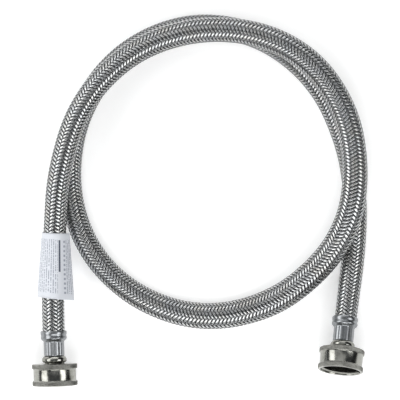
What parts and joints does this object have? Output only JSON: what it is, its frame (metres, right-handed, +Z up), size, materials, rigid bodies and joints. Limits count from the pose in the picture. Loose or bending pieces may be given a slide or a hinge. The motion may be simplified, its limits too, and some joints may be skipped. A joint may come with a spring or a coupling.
{
  "type": "braided supply line",
  "caption": "Flexible water supply line: steel braid over a rubber hose in a loose loop, with a free-turning hose nut on each crimped end.",
  "frame": {"origin": "middle of the two end fittings, on the surface that the line lies on", "axes": "+X from the inlet end to the outlet end, +Y from the fittings towards the far side of the loop, +Z up"},
  "size_m": [0.2299, 0.2547, 0.0346],
  "materials": {
    "braid": "braided bright stainless wire",
    "ferrule_steel": "satin stainless, crimped",
    "nickel_brass": "nickel plated, semi-bright",
    "liner_rubber": "smooth black EPDM",
    "washer_rubber": "matt black moulded",
    "label_paper": "matt white, printed in grey"
  },
  "bodies": {
    "hose": {"braid_sleeve": "braid", "rubber_liner": "liner_rubber", "paper_label": "label_paper", "inlet_ferrule": "ferrule_steel", "inlet_stem": "nickel_brass", "outlet_ferrule": "ferrule_steel", "outlet_stem": "nickel_brass"},
    "inlet_washer_ring": {"inlet_washer": "washer_rubber"},
    "inlet_swivel_nut": {"inlet_nut": "nickel_brass"},
    "outlet_washer_ring": {"outlet_washer": "washer_rubber"},
    "outlet_swivel_nut": {"outlet_nut": "nickel_brass"}
  },
  "joints": [
    {"name": "inlet_nut_play", "type": "slide", "parent": "hose", "child": "inlet_washer_ring", "axis": [0.0295, -0.9996, 0], "range_m": [-0.0005, 0.0005]},
    {"name": "inlet_nut_swivel", "type": "hinge", "parent": "inlet_washer_ring", "child": "inlet_swivel_nut", "pos_m": [-0.09837, -0.02379, 0.0155], "axis": [0.0295, -0.9996, 0], "continuous": true},
    {"name": "outlet_nut_play", "type": "slide", "parent": "hose", "child": "outlet_washer_ring", "axis": [-0.1039, -0.9621, 0.2521], "range_m": [-0.0005, 0.0005]},
    {"name": "outlet_nut_swivel", "type": "hinge", "parent": "outlet_washer_ring", "child": "outlet_swivel_nut", "pos_m": [0.09699, -0.01349, 0.01967], "axis": [-0.1039, -0.9621, 0.2521], "continuous": true}
  ]
}
